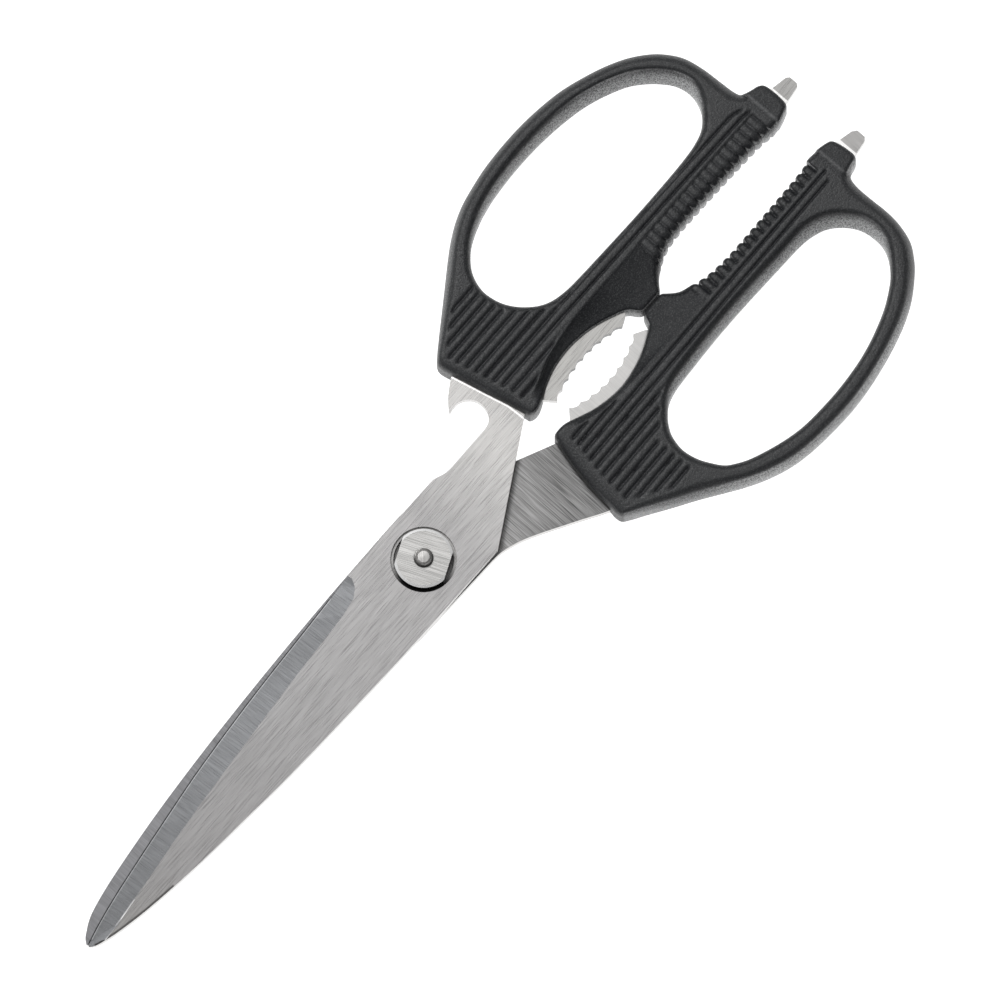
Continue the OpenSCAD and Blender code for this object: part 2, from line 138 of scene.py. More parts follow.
def distance(px, py, L, closed, vals=None):
    """Distance from points to the polyline L, whether each point is inside it, and vals at the nearest place."""
    A = L[:, :2]
    B = np.roll(A, -1, 0)
    if not closed:
        A, B = A[:-1], B[:-1]
    V = B - A
    vv = (V ** 2).sum(1) + 1e-12
    dist = np.zeros(px.shape)
    inside = np.zeros(px.shape, bool)
    val = np.zeros(px.shape)
    if vals is not None:
        va = vals[: len(A)]
        vb = np.roll(vals, -1)[: len(A)]
    for s in range(0, len(px), 16000):
        x, y = px[s:s + 16000, None], py[s:s + 16000, None]
        wx, wy = x - A[:, 0], y - A[:, 1]
        t = np.clip((wx * V[:, 0] + wy * V[:, 1]) / vv, 0, 1)
        d2 = (wx - t * V[:, 0]) ** 2 + (wy - t * V[:, 1]) ** 2
        i = d2.argmin(1)
        r = np.arange(len(i))
        dist[s:s + 16000] = np.sqrt(d2[r, i])
        if vals is not None:
            ti = t[r, i]
            val[s:s + 16000] = va[i] * (1 - ti) + vb[i] * ti
        if closed:
            up = (A[:, 1] > y) != (B[:, 1] > y)
            with np.errstate(divide="ignore", invalid="ignore"):
                xc = A[:, 0] + (y - A[:, 1]) * V[:, 0] / np.where(V[:, 1] == 0, 1e-12, V[:, 1])
            inside[s:s + 16000] = ((up & (x < xc)).sum(1) % 2) == 1
    return dist, inside, val


class Plane:
    """Fields sampled on a fine plan grid and read back between the samples."""

    def __init__(self, x0, y0, x1, y1, h):
        self.x0, self.y0, self.h = x0, y0, h
        self.nx, self.ny = int(math.ceil((x1 - x0) / h)) + 1, int(math.ceil((y1 - y0) / h)) + 1
        X, Y = np.meshgrid(x0 + h * np.arange(self.nx), y0 + h * np.arange(self.ny), indexing="ij")
        self.X, self.Y = X.ravel(), Y.ravel()
        self.f = {}

    def add(self, name, v):
        self.f[name] = v.reshape(self.nx, self.ny)

    def at(self, x, y):
        gx = np.clip((x - self.x0) / self.h, 0, self.nx - 1.001)
        gy = np.clip((y - self.y0) / self.h, 0, self.ny - 1.001)
        i, j = gx.astype(int), gy.astype(int)
        u, v = gx - i, gy - j
        out = {}
        for k, F in self.f.items():
            out[k] = (F[i, j] * (1 - u) + F[i + 1, j] * u) * (1 - v) + (F[i, j + 1] * (1 - u) + F[i + 1, j + 1] * u) * v
        return out


# ------------------------------------------------------------------ surface nets
def nets(F, xs, ys, zs):
    """Quad mesh of the level set F = 0, with F positive inside."""
    S = F > 0
    c = np.zeros(tuple(n - 1 for n in F.shape), np.int8)
    for a in (0, 1):
        for b in (0, 1):
            for d in (0, 1):
                c += S[a:F.shape[0] - 1 + a, b:F.shape[1] - 1 + b, d:F.shape[2] - 1 + d]
    act = (c > 0) & (c < 8)
    idx = np.full(act.shape, -1, np.int64)
    i, j, k = np.nonzero(act)
    idx[act] = np.arange(len(i))
    P = np.zeros((len(i), 3))
    W = np.zeros(len(i))
    for ax in range(3):
        o = [q for q in range(3) if q != ax]
        for p in (0, 1):
            for q in (0, 1):
                a = [0, 0, 0]
                a[o[0]], a[o[1]] = p, q
                b = list(a)
                b[ax] = 1
                fa = F[i + a[0], j + a[1], k + a[2]]
                fb = F[i + b[0], j + b[1], k + b[2]]
                m = (fa > 0) != (fb > 0)
                t = fa[m] / (fa[m] - fb[m])
                pos = np.tile(np.array(a, float), (m.sum(), 1))
                pos[:, ax] = t
                P[m] += pos
                W[m] += 1
    P /= W[:, None]
    V = np.stack([np.interp(i + P[:, 0], np.arange(len(xs)), xs), np.interp(j + P[:, 1], np.arange(len(ys)), ys),
                  np.interp(k + P[:, 2], np.arange(len(zs)), zs)], 1)
    Q = []
    for ax in range(3):
        sl = [slice(1, -1)] * 3
        lo, hi = list(sl), list(sl)
        lo[ax], hi[ax] = slice(0, -1), slice(1, None)
        A, B = S[tuple(lo)], S[tuple(hi)]
        e = np.nonzero(A != B)
        g = [e[q] + (0 if q == ax else 1) for q in range(3)]
        u, v = ((1, 2), (2, 0), (0, 1))[ax]
        corners = []
        for du, dv in ((-1, -1), (0, -1), (0, 0), (-1, 0)):
            w = list(g)
            w[u] = g[u] + du
            w[v] = g[v] + dv
            corners.append(idx[w[0], w[1], w[2]])
        q = np.stack(corners, 1)
        flip = ~A[e]
        q[flip] = q[flip][:, ::-1]
        Q.append(q)
    return V, np.concatenate(Q)


def settle(V, f, h, steps=4, reach=0.12):
    """Moves the vertices onto the surface f = 0."""
    for _ in range(steps):
        v = f(V[:, 0], V[:, 1], V[:, 2])
        g = np.stack([f(V[:, 0] + h, V[:, 1], V[:, 2]) - f(V[:, 0] - h, V[:, 1], V[:, 2]),
                      f(V[:, 0], V[:, 1] + h, V[:, 2]) - f(V[:, 0], V[:, 1] - h, V[:, 2]),
                      f(V[:, 0], V[:, 1], V[:, 2] + h) - f(V[:, 0], V[:, 1], V[:, 2] - h)], 1) / (2 * h)
        step = -v[:, None] * g / ((g ** 2).sum(1)[:, None] + 1e-6)
        n = np.linalg.norm(step, axis=1)
        step *= np.minimum(1, reach / np.maximum(n, 1e-9))[:, None]
        V = V + step
    return V


def mesh_object(name, V, faces, mats, smooth=True, face_mat=None):
    """A mesh object from vertices in millimetres."""
    me = bpy.data.meshes.new(name)
    V = np.asarray(V, float) * MM
    if isinstance(faces, np.ndarray):
        n, w = faces.shape
        me.vertices.add(len(V))
        me.vertices.foreach_set("co", V.astype(np.float32).ravel())
        me.loops.add(n * w)
        me.loops.foreach_set("vertex_index", faces.astype(np.int32).ravel())
        me.polygons.add(n)
        me.polygons.foreach_set("loop_start", (np.arange(n) * w).astype(np.int32))
        me.update(calc_edges=True)
        me.validate()
    else:
        me.from_pydata([tuple(v) for v in V], [], faces)
    for m in mats:
        me.materials.append(m)
    if face_mat is not None:
        me.polygons.foreach_set("material_index", np.asarray(face_mat, np.int32))
    me.polygons.foreach_set("use_smooth", np.full(len(me.polygons), smooth))
    me.update()
    ob = bpy.data.objects.new(name, me)
    bpy.context.scene.collection.objects.link(ob)
    return ob


# ------------------------------------------------------------------ heights taken from the frame
def zrange(node):
    a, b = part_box(node)
    return a.z / MM, b.z / MM


HZ0, HZ1 = zrange("front_handle")
ZM, HH = (HZ0 + HZ1) / 2, (HZ1 - HZ0) / 2
FZ0, FZ1 = zrange("front_blade")
BZ0, BZ1 = zrange("back_blade")

# ------------------------------------------------------------------ moulded grips
PITCH = 2.256


def ribs(y, G, A, p=3.0):
    """Rounded ridges between the groove centres G: 0 on a ridge's crown, -A in a groove."""
    G = np.sort(np.asarray(G, float))
    k = np.clip(np.searchsorted(G, y), 1, len(G) - 1)
    lo, hi = G[k - 1], G[k]
    u = np.abs(2 * (y - lo) / (hi - lo) - 1)
    u = np.where(y < G[0], np.clip(1 - (G[0] - y) / 1.0, 0, 1), u)
    u = np.where(y > G[-1], np.clip(1 - (y - G[-1]) / 1.0, 0, 1), u)
    return -A * np.minimum(u, 1) ** p


def groove(y, yc, A, w):
    return -A * np.exp(-(np.abs(y - yc) / w) ** 2)


FRONT = dict(
    grip=FRONT_GRIP, hole=FRONT_HOLE, sgn=1.0,
    rows=[7.0, 9.3, 11.8, 13.95, 16.15, 18.3, 20.6, 22.9, 24.95, 27.1, 29.3, 31.25], slope=0.0,
    blade=[[38.9, 3.2], [38.7, 8.3], [37.4, 13.8], [36, 20], [35, 24.5], [34.7, 26.8]],
    lensx=[42.2, 44, 46, 48, 52, 57, 62, 66, 69, 70.6, 72, 73, 75, 85],
    lensy=[2.4, 3.1, 4, 4.75, 5.85, 6.25, 5.7, 4.6, 3.4, 2.7, 1.6, 0.1, -0.9, -0.9],
    crestx=[43, 46.5, 48, 52, 57, 62, 68, 73, 85], cresty=[5.2, 6.5, 7.0, 8.35, 9.25, 9.65, 9.85, 9.85, 9.75],
    ga=([60, 80, 100, 115, 119.5, 121.5, 122.8], [13.95, 13.7, 13.2, 12.9, 12.75, 12.35, 11.6], 122.6),
    gb=([60, 80, 100, 115, 121, 122.6, 123.8], [11.8, 11.5, 11.15, 10.85, 10.7, 10.55, 10.0], 123.6),
    brink=2.2, rim=2.1, hole_rim=1.25, knuck=84.8, band=9.65, collar=125.75, stopx=84.45, scoop=1.7)
BACK = dict(
    grip=BACK_GRIP, hole=BACK_HOLE, sgn=-1.0,
    rows=[7.7, 9.5, 11.6, 13.75, 15.9, 18.1, 20.4, 22.8, 25.0, 27.3, 29.5, 31.6], slope=0.013,
    blade=[[38.6, -4.4], [38, -9.7], [36.9, -14.7], [36.2, -19.2], [35.8, -23.9], [35.3, -27.6]],
    lensx=[42.5, 44, 46.6, 49.8, 52.8, 55.8, 58.8, 61.8, 64.8, 67.8, 70.2, 72.2, 73.7, 75, 85],
    lensy=[3.8, 4.2, 5.2, 6.5, 7.3, 7.8, 7.95, 7.6, 7.0, 6.0, 4.9, 3.8, 1.25, 0.98, 0.98],
    crestx=[43, 46, 48, 52, 57, 62, 68, 73, 85], cresty=[6.0, 7.1, 7.7, 8.8, 9.35, 9.45, 9.45, 9.45, 9.45],
    ga=([60, 80, 100, 115, 121, 123.4], [13.6, 13.3, 13.1, 13.0, 13.0, 13.0], 123.2),
    gb=([60, 80, 100, 115, 124.6], [11.4, 11.2, 11.1, 11.1, 11.1], 124.5),
    brink=3.0, rim=3.1, hole_rim=1.85, knuck=84.4, band=9.8, collar=126.55, stopx=84.7, scoop=1.1)


def relief(g, x, y, q):
    """Height added to the crown of the grip, all of it downwards."""
    s = g["sgn"]
    yy = y * s  # mirrored so that +Y is outwards
    Y = yy + g["slope"] * (np.minimum(x, 66) - 45)
    crest = np.interp(x, g["crestx"], g["cresty"])
    # ribbed panel
    m = sst(g["brink"], g["brink"] + 1.1, q["DB"]) * sst(g["rim"] - 0.5, g["rim"] + 0.6, q["D1"] + 40 * (yy < 14)) \
        * sst(g["hole_rim"] - 0.3, g["hole_rim"] + 0.3, q["D2"]) * sst(0.0, 0.6, yy - crest)
    m = m * (1 - sst(53.2, 54.4, x) * sst(21.0, 22.4, yy)) * (1 - sst(60, 66, x))
    r = ribs(Y, g["rows"], 0.70) * m
    # the long grooves of the arm
    for (gx, gy, end), A in ((g["ga"], 0.46), (g["gb"], 0.52)):
        r = np.minimum(r, groove(yy, np.interp(x, gx, gy), A, 0.26) * sst(56, 64, x) * (1 - sst(end - 0.6, end + 0.3, x)))
    # scoop above the lens and the sloped stop zone
    lens = np.interp(x, g["lensx"], g["lensy"])
    t = np.clip((crest - yy) / np.maximum(crest - lens, 0.6), 0, 1.25)
    on = sst(42.6, 47.5, x) * (1 - sst(g["stopx"] - 0.25, g["stopx"] + 0.1, x))
    dep = g["scoop"] * (1 - 0.25 * sst(68, 76, x))
    r = r - on * dep * (1 - (1 - np.clip(t, 0, 1)) ** 1.7)
    r = r - 0.12 * on * sst(0.0, 0.35, crest - yy)
    # slope down to the steel on the blade side
    e = np.clip(1 - q["DB"] / (g["brink"] + 0.5), 0, 1)
    r = r - 1.0 * e ** 2
    # step up onto the collar
    c = g["collar"]
    r = r - 0.22 * np.exp(-np.clip(c - x, 0, 9) / 1.4) * (1 - sst(c - 0.5, c + 0.1, x)) * (q["D2"] > 0) * sst(16.5, 14.5, yy)
    # knuckle zone sits a little below the arm, behind a fine line
    r = r - 0.14 * knuckle_zone(g, x, yy)
    r = r - 0.24 * np.exp(-((yy - g["band"] + 0.1) / 0.24) ** 2) * sst(g["stopx"] - 0.2, g["stopx"] + 0.3, x) * (1 - sst(122.9, 123.5, x))
    return r


def knuckle_zone(g, x, yy):
    return sst(g["stopx"] - 0.1, g["stopx"] + 0.35, x) * (1 - sst(122.9, 123.5, x)) * (1 - sst(g["band"] - 0.4, g["band"], yy))


def knuckles(g, x):
    """Bite of the grooves between the knuckles, 0 on a crown."""
    u = (x - g["knuck"]) / PITCH
    u = np.abs(2 * (u - np.floor(u)) - 1)
    return 0.62 * u ** 2.9


def build_grip(g):
    P = cr_loop([[p[0], p[1], p[2]] for p in g["grip"]], 6)
    H = cr_loop([[p[0], p[1], p[2]] for p in g["hole"]], 6)
    s = g["sgn"]
    x0, x1 = P[:, 0].min() - 0.9, P[:, 0].max() + 0.9
    y0, y1 = P[:, 1].min() - 0.9, P[:, 1].max() + 0.9
    pl = Plane(x0, y0, x1, y1, 0.15)
    d, inside, share = distance(pl.X, pl.Y, P, True, P[:, 2])
    pl.add("D1", np.where(inside, d, -d))
    pl.add("SH", share)
    d, inside, _ = distance(pl.X, pl.Y, H, True)
    D = np.where(inside, -d, d).reshape(pl.nx, pl.ny)
    gx, gy = np.gradient(D, pl.h)
    far = gx * 0.76 + gy * 0.65
    far = sst(0.15, 0.95, far)
    pl.add("D2", D - 0.45 * np.abs(gx * 0.76 + gy * 0.65) * (1 - far))
    pl.add("FAR", far)
    d, _, _ = distance(pl.X, pl.Y, np.array(g["blade"], float), False)
    pl.add("DB", d)

    def plan(x, y):
        """What the field needs of a point's plan position."""
        q = pl.at(x, y)
        yy = y * s
        kz = knuckle_zone(g, x, yy)
        bite = knuckles(g, x) * kz
        r = relief(g, x, y, q) - (0.62 if s > 0 else 1.35) * bite
        D1 = q["D1"] - bite * sst(3.5, 1.5, q["D1"])
        D2 = q["D2"]
        wide = np.maximum((D1 + D2) / 2, 0.4)
        sh = q["SH"]
        zone = sst(82.5, 85.5, x) * (1 - sst(122, 125, x)) * (yy < 9.9) * (yy > 2)
        R1 = 0.35 + 2.85 * sh
        cap = sst(g["collar"] - 0.6, g["collar"] + 0.1, x) * (1 - sst(13.0, 16.0, yy))
        R1 = R1 * (1 - zone) + (2.7 if s > 0 else 1.3) * zone
        R1 = R1 * (1 - cap) + 0.95 * cap
        Z1 = 0.6 + 5.0 * np.clip(sh, 0, 1) ** 0.8
        Z1 = Z1 * (1 - zone) + (3.2 if s > 0 else 1.7) * zone
        Z1 = Z1 * (1 - cap) + 1.5 * cap
        far = q["FAR"]
        R2, Z2 = 1.75 + 1.6 * far, 2.6 + 3.3 * far
        k = 6.0
        R1 = (R1 ** -k + (wide * (1 - 0.15 * far)) ** -k) ** (-1 / k)
        R2 = (R2 ** -k + (wide * (1 + 0.22 * far)) ** -k) ** (-1 / k)
        u1, u2 = 1 - D1 / R1, 1 - D2 / R2
        u = np.maximum(np.maximum(u1, u2), 0)
        a = sst(0.35, 0.65, D1 / np.maximum(D1 + D2, 0.2))
        Z = Z1 * (1 - a) + Z2 * a
        return u, HH + r, Z, 2 - 0.72 * a * far

    def field(x, y, z):
        u, top, Z, e = plan(x, y)
        w = np.maximum(1 - (top - np.abs(z - ZM)) / Z, 0)
        return 1 - (u ** e + w ** e) ** (1 / e)

    hx, hy, hz = ((0.34, 0.295, 0.34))
    xs = np.arange(x0, x1 + hx, hx)
    ys = np.arange(y0, y1 + hy, hy)
    zs = np.arange(HZ0 - 1.5 * hz + 0.013, HZ1 + 2.0 * hz, hz)
    X, Y = np.meshgrid(xs, ys, indexing="ij")
    u, top, Z, e = (v.reshape(X.shape)[:, :, None] for v in plan(X.ravel(), Y.ravel()))
    w = np.maximum(1 - (top - np.abs(zs[None, None, :] - ZM)) / Z, 0)
    F = 1 - (u ** e + w ** e) ** (1 / e)
    V, Q = nets(F, xs, ys, zs)
    V = settle(V, field, 0.03, 5, 0.15)
    return V, Q


def keep_in(V, node):
    """Holds the vertices inside a CAD node's box."""
    a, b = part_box(node)
    lo, hi = np.array(a) / MM, np.array(b) / MM
    return np.clip(V, lo, hi)


# ------------------------------------------------------------------ materials
def nodes_of(name):
    m = bpy.data.materials.new(name)
    m.use_nodes = True
    nt = m.node_tree
    nt.nodes.clear()
    out = nt.nodes.new("ShaderNodeOutputMaterial")
    b = nt.nodes.new("ShaderNodeBsdfPrincipled")
    nt.links.new(b.outputs[0], out.inputs[0])
    return m, nt, b


class N:
    """Short calls for building a node tree."""

    def __init__(self, nt):
        self.nt = nt

    def node(self, kind, **kw):
        n = self.nt.nodes.new(kind)
        for k, v in kw.items():
            setattr(n, k, v)
        return n

    def link(self, a, b):
        self.nt.links.new(a, b)

    def val(self, sock, v):
        if hasattr(v, "links") or isinstance(v, bpy.types.NodeSocket):
            self.link(v, sock)
        else:
            sock.default_value = v

    def math(self, op, a, b=None, c=None, clamp=False):
        n = self.node("ShaderNodeMath", operation=op)
        n.use_clamp = clamp
        self.val(n.inputs[0], a)
        if b is not None:
            self.val(n.inputs[1], b)
        if c is not None:
            self.val(n.inputs[2], c)
        return n.outputs[0]

    def pos(self):
        return self.node("ShaderNodeTexCoord").outputs["Object"]

    def mapped(self, v, scale, rot=(0, 0, 0)):
        n = self.node("ShaderNodeMapping")
        self.link(v, n.inputs[0])
        n.inputs["Scale"].default_value = scale
        n.inputs["Rotation"].default_value = rot
        return n.outputs[0]

    def turned(self, v, rot):
        n = self.node("ShaderNodeMapping")
        self.link(v, n.inputs[0])
        n.inputs["Rotation"].default_value = rot
        return n.outputs[0]

    def noise(self, v, scale, detail=3.0, rough=0.55):
        n = self.node("ShaderNodeTexNoise")
        self.link(v, n.inputs["Vector"])
        n.inputs["Scale"].default_value = scale
        n.inputs["Detail"].default_value = detail
        n.inputs["Roughness"].default_value = rough
        return n.outputs[0]

    def ramp(self, f, stops):
        n = self.node("ShaderNodeValToRGB")
        self.link(f, n.inputs[0])
        el = n.color_ramp.elements
        while len(el) < len(stops):
            el.new(0.5)
        for e, (p, c) in zip(el, stops):
            e.position = p
            e.color = (c, c, c, 1) if not isinstance(c, tuple) else c + (1,)
        return n.outputs[0]

    def range(self, f, a, b, c, d):
        n = self.node("ShaderNodeMapRange")
        self.val(n.inputs[0], f)
        for i, v in enumerate((a, b, c, d)):
            n.inputs[i + 1].default_value = v
        return n.outputs[0]

    def mix(self, f, a, b):
        n = self.node("ShaderNodeMix", data_type="RGBA")
        self.val(n.inputs[0], f)
        for i, v in ((6, a), (7, b)):
            if isinstance(v, tuple):
                v = v + (1,) if len(v) == 3 else v
            self.val(n.inputs[i], v)
        return n.outputs[2]

    def mul_color(self, col, f):
        n = self.node("ShaderNodeMix", data_type="RGBA", blend_type="MULTIPLY")
        n.inputs[0].default_value = 1.0
        self.val(n.inputs[6], col + (1,) if isinstance(col, tuple) else col)
        self.link(f, n.inputs[7])
        return n.outputs[2]

    def bump(self, h, strength, dist, normal=None):
        n = self.node("ShaderNodeBump")
        n.inputs["Strength"].default_value = strength
        n.inputs["Distance"].default_value = dist
        self.link(h, n.inputs["Height"])
        if normal is not None:
            self.link(normal, n.inputs["Normal"])
        return n.outputs[0]


def plastic():
    """Fine-grained moulded black plastic; the side walls carry a coarser texture painted pale, a painted reflection of
    the white floor, and a parting line.
    """
    m, nt, b = nodes_of("moulded_plastic")
    n = N(nt)
    p = n.pos()
    geo = n.node("ShaderNodeNewGeometry")
    nz = n.node("ShaderNodeSeparateXYZ")
    n.link(geo.outputs["Normal"], nz.inputs[0])
    sep = n.node("ShaderNodeSeparateXYZ")
    n.link(p, sep.inputs[0])
    px, py = sep.outputs[0], sep.outputs[1]
    high = n.math("ABSOLUTE", n.math("SUBTRACT", sep.outputs[2], ZM * MM))
    # painted light: the pale paint goes on steep walls turned towards the camera's low side, and less on walls turned
    # left
    wall = n.math("MULTIPLY", n.range(n.math("ABSOLUTE", nz.outputs[2]), 0.66, 0.50, 0, 1), n.range(high, 0.0057, 0.0052, 0, 1))
    near = n.math("ADD", n.math("MULTIPLY", nz.outputs[0], -0.76), n.math("MULTIPLY", nz.outputs[1], -0.65))
    left = n.math("ADD", n.math("MULTIPLY", nz.outputs[0], -0.65), n.math("MULTIPLY", nz.outputs[1], 0.76))
    lit = n.math("ADD", n.range(near, 0.05, 0.45, 0, 1), n.math("MULTIPLY", n.range(left, 0.5, 0.9, 0, 1), n.range(px, 0.052, 0.066, 0.35, 0.08)), clamp=True)
    wall = n.math("MULTIPLY", wall, n.math("MULTIPLY", lit, n.range(px, 0.050, 0.062, 0.5, 1.0)))
    # the painted pale reflection only shows when the wall is seen at a grazing angle
    lw = n.node("ShaderNodeLayerWeight")
    lw.inputs["Blend"].default_value = 0.5
    wall = n.math("MULTIPLY", wall, n.range(lw.outputs["Facing"], 0.14, 0.38, 0.10, 1.0))
    # the ends over the tangs stay dark
    tang_end = n.math("MULTIPLY", n.range(px, 0.0415, 0.0395, 0, 1), n.range(nz.outputs[0], -0.55, -0.75, 0, 1))
    wall = n.math("MULTIPLY", wall, n.math("SUBTRACT", 1.0, tang_end))
    grain = n.noise(p, 2300.0, 3.0, 0.6)
    coarse = n.noise(p, 3200.0, 2.0, 0.6)
    cloud = n.noise(p, 140.0, 3.0, 0.6)
    fleck = n.noise(p, 3900.0, 1.0, 0.5)
    base = n.mix(n.range(cloud, 0.35, 0.65, 0, 1), (0.0100, 0.0110, 0.0130), (0.0150, 0.0160, 0.0180))
    top = n.mix(n.range(fleck, 0.50, 0.72, 0.0, 1.0), base, (0.052, 0.054, 0.056))
    low = n.range(sep.outputs[2], (ZM + 4) * MM, (ZM - 3) * MM, 0.95, 1.75)
    # painted reflection: pale coarse-grained wall colour, made paler towards the floor
    side = n.mix(n.range(coarse, 0.38, 0.62, 0, 1), (0.10, 0.101, 0.103), (0.54, 0.545, 0.55))
    side = n.mul_color(side, low)
    # painted highlight along the crease at the step of each collar, broken up by the grain
    step = None
    for g, lo, hi in ((FRONT, 0.001, 0.0015), (BACK, -0.001, -0.0015)):
        on = n.math("SUBTRACT", 1.0, n.math("DIVIDE", n.math("ABSOLUTE", n.math("SUBTRACT", px, (g["collar"] + 0.05) * MM)), 0.00055), clamp=True)
        on = n.math("MULTIPLY", on, n.range(py, lo, hi, 0, 1))
        on = n.math("MULTIPLY", on, n.range(n.math("ABSOLUTE", py), 0.0150, 0.0135, 0, 1))
        step = on if step is None else n.math("ADD", step, on)
    step = n.math("MULTIPLY", step, n.range(grain, 0.35, 0.6, 0.3, 0.9))
    top = n.mix(step, top, (0.125, 0.127, 0.13))
    n.link(n.mix(wall, top, side), b.inputs["Base Color"])
    n.link(n.range(grain, 0.3, 0.7, 0.34, 0.52), b.inputs["Roughness"])
    seam = n.math("SUBTRACT", 1.0, n.math("DIVIDE", high, 0.00016), clamp=True)
    h = n.math("ADD", n.math("MULTIPLY", grain, 0.8), n.math("MULTIPLY", seam, 0.5))
    h = n.math("ADD", h, n.math("MULTIPLY", n.math("MULTIPLY", coarse, wall), 0.6))
    n.link(n.bump(h, 0.9, 0.0002), b.inputs["Normal"])
    # painted shade: the shine is cut in creases, by an ambient-occlusion mask
    ao = n.node("ShaderNodeAmbientOcclusion", samples=4)
    ao.inputs["Distance"].default_value = 0.0011
    spec = n.range(ao.outputs["AO"], 0.45, 0.92, 0.10, 0.5)
    # the flat stops beside the lens are less polished than the rest
    ay = n.math("ABSOLUTE", py)
    stop = n.math("MULTIPLY", n.range(px, 0.058, 0.064, 0, 1), n.range(px, 0.0852, 0.0842, 0, 1))
    stop = n.math("MULTIPLY", stop, n.range(ay, 0.0103, 0.0096, 0, 1))
    # painted shade: less shine on faces turned away from the camera's low side
    spec = n.math("MULTIPLY", spec, n.range(near, -0.75, -0.25, 0.5, 1.0))
    spec = n.math("MULTIPLY", spec, n.range(px, 0.1248, 0.1262, 1.0, 0.80))
    n.link(n.math("MULTIPLY", spec, n.math("SUBTRACT", 1.0, n.math("MULTIPLY", stop, 0.48))), b.inputs["Specular IOR Level"])
    return m


def steel(name, face, side, angle, bevel=None, streak=0.16, rough=0.30, bevel_angle=90.0, fine=1.0, zones=(), painted_light_bands=(),
          crease_shade=(0.0007, 0.35, 0.85, 0.12), calm=None, rim=None, pit=None, tip=None, side_on=None):
    """Brushed steel: streaks run at the given angle (degrees) on the flat faces, and across them on the bevel.

    painted_light_bands: (x0, y0, x1, y1, near, far, tone) paints a band of painted highlight (pale tone) or painted
    shadow (dark tone) beside the line, to its left from near to far mm.
    """
    m, nt, b = nodes_of(name)
    n = N(nt)
    p = n.pos()
    geo = n.node("ShaderNodeNewGeometry")
    sep = n.node("ShaderNodeSeparateXYZ")
    n.link(geo.outputs["True Normal"], sep.inputs[0])
    up = n.math("ABSOLUTE", sep.outputs[2])
    flat = n.range(up, 0.955, 0.985, 0, 1)
    wall = n.range(up, 0.55, 0.35, 0, 1)

    def brushing(a, fine=fine):
        q = n.turned(p, (0, 0, -math.radians(a)))
        s1 = n.noise(n.mapped(q, (80 * fine, 5200 * fine, 60)), 1.0, 2.0, 0.6)
        s2 = n.noise(n.mapped(q, (34 * fine, 1700 * fine, 40)), 1.0, 1.0, 0.5)
        s3 = n.noise(n.mapped(q, (150 * fine, 9000 * fine, 90)), 1.0, 1.0, 0.5)
        return n.math("ADD", n.math("ADD", n.math("MULTIPLY", s1, 0.34), n.math("MULTIPLY", s2, 0.05)), n.math("MULTIPLY", s3, 0.61))

    h1 = brushing(angle)
    h = h1
    px = n.node("ShaderNodeSeparateXYZ")
    n.link(p, px.inputs[0])
    for x0, x1, tone in zones:  # the face's tone changes along the part
        face = n.mix(n.range(px.outputs[0], x0 * MM, x1 * MM, 0, 1), face, tone)
    deep = n.range(px.outputs[0], calm[0] * MM, (calm[0] + 6) * MM, calm[1], 1.0) if calm else 1.0
    if calm:  # the jaw and the driver tip are only lightly brushed
        deep = n.math("MULTIPLY", deep, n.range(px.outputs[0], 40 * MM, 43 * MM, 1.0, 0.22))
    dull = n.math("MULTIPLY", deep, n.range(h1, 0.32, 0.68, streak * 2.2, 0.0))
    dull = n.math("SUBTRACT", 1.0, dull)
    col = n.mul_color(face, dull)
    if bevel is not None:
        h2 = brushing(bevel_angle, 1.5)
        c2 = n.mul_color(bevel, n.ramp(h2, [(0.36, 0.82), (0.64, 1.0)]))
        col = n.mix(flat, c2, col)
        mixh = n.node("ShaderNodeMix", data_type="FLOAT")
        n.link(flat, mixh.inputs[0])
        n.link(h2, mixh.inputs[2])
        n.link(h1, mixh.inputs[3])
        h = mixh.outputs[0]
    patch = n.noise(p, 55.0, 3.0, 0.6)
    col = n.mul_color(col, n.ramp(patch, [(0.3, 0.93), (0.7, 1.0)]))
    # painted highlights and painted shadows, in bands beside lines
    for x0, y0, x1, y1, near, far, tone in painted_light_bands:
        ux, uy = x1 - x0, y1 - y0
        k = math.hypot(ux, uy)
        ux, uy = ux / k, uy / k
        off = n.math("ADD", n.math("MULTIPLY", px.outputs[0], -uy), n.math("ADD", n.math("MULTIPLY", px.outputs[1], ux), (uy * x0 - ux * y0) * MM))
        t = n.math("ADD", n.math("MULTIPLY", px.outputs[0], ux), n.math("ADD", n.math("MULTIPLY", px.outputs[1], uy), (-ux * x0 - uy * y0) * MM))
        on = n.math("MULTIPLY", n.range(off, (near - 0.06) * MM, (near + 0.06) * MM, 0, 1), n.range(off, (far + 0.08) * MM, (far - 0.08) * MM, 0, 1))
        on = n.math("MULTIPLY", on, n.math("MULTIPLY", n.range(t, -0.0002, 0.0, 0, 1), n.range(t, (k + 0.2) * MM, k * MM, 0, 1)))
        col = n.mix(on, col, tone)
    if tip is not None:  # painted shade on the last steep facet of the grind, at the point, dimming its bright reflection
        on = n.math("MULTIPLY", n.range(up, 0.64, 0.67, 0, 1), n.range(up, 0.75, 0.72, 0, 1))
        col = n.mix(n.math("MULTIPLY", on, n.range(px.outputs[0], -0.105, -0.106, 0, 1)), col, tip)
    if pit is not None:  # the sunk seat round the pivot: dull, and black where it lies in the keeper's shade
        radius, r_in, shade, dim = pit
        rad = n.math("SQRT", n.math("ADD", n.math("MULTIPLY", px.outputs[0], px.outputs[0]), n.math("MULTIPLY", px.outputs[1], px.outputs[1])))
        inside = n.range(rad, radius * MM, (radius - 0.08) * MM, 0, 1)
        aim = n.math("DIVIDE", n.math("ADD", n.math("MULTIPLY", px.outputs[0], -0.80), n.math("MULTIPLY", px.outputs[1], -0.60)), rad)
        col = n.mix(inside, col, n.mix(n.range(aim, 0.1, 0.75, 0, 1), dim, shade))
